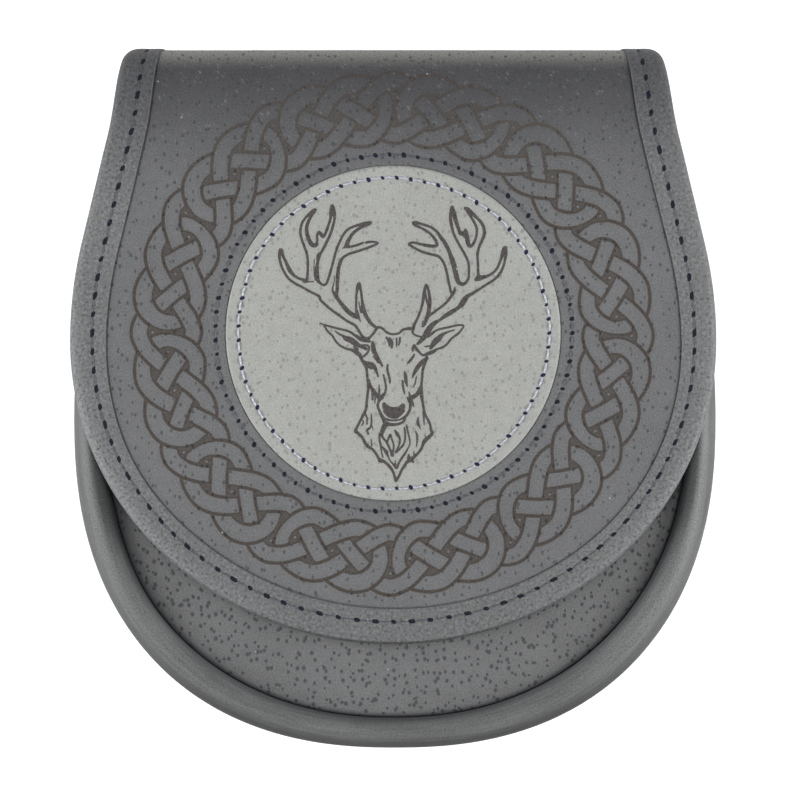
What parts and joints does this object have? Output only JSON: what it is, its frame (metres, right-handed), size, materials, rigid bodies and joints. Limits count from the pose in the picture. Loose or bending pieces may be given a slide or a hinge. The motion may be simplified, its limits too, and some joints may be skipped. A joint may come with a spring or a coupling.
{
  "type": "sporran pouch",
  "caption": "Flat-backed leather sporran pouch with a rolled gusset, a domed front, a bound flap folded over the top, a let-in disc and strap loops on the back.",
  "frame": {"origin": "the middle of the bounding box's underside: midway between the sides, midway between the fold and the lowest rim, on the surface that the pouch lies on", "axes": "+X to the right as seen from the front, +Y towards the fold, which is up when worn, +Z out of the front. The pouch lies on its back"},
  "size_m": [0.1824, 0.1984, 0.0338],
  "materials": {
    "pored_leather": "dark grey, matte, with sparse pores",
    "smooth_leather": "dark grey, fine grain, satin",
    "pale_leather": "light grey, matte",
    "stud_steel": "satin"
  },
  "bodies": {
    "root": {"back_panel": "smooth_leather", "gusset": "smooth_leather", "front_panel": "pored_leather", "flap": "pored_leather", "flap_binding": "smooth_leather", "roundel": "pale_leather", "flap_stud": "stud_steel", "strap_loop_left": "smooth_leather", "strap_loop_right": "smooth_leather"}
  },
  "joints": []
}
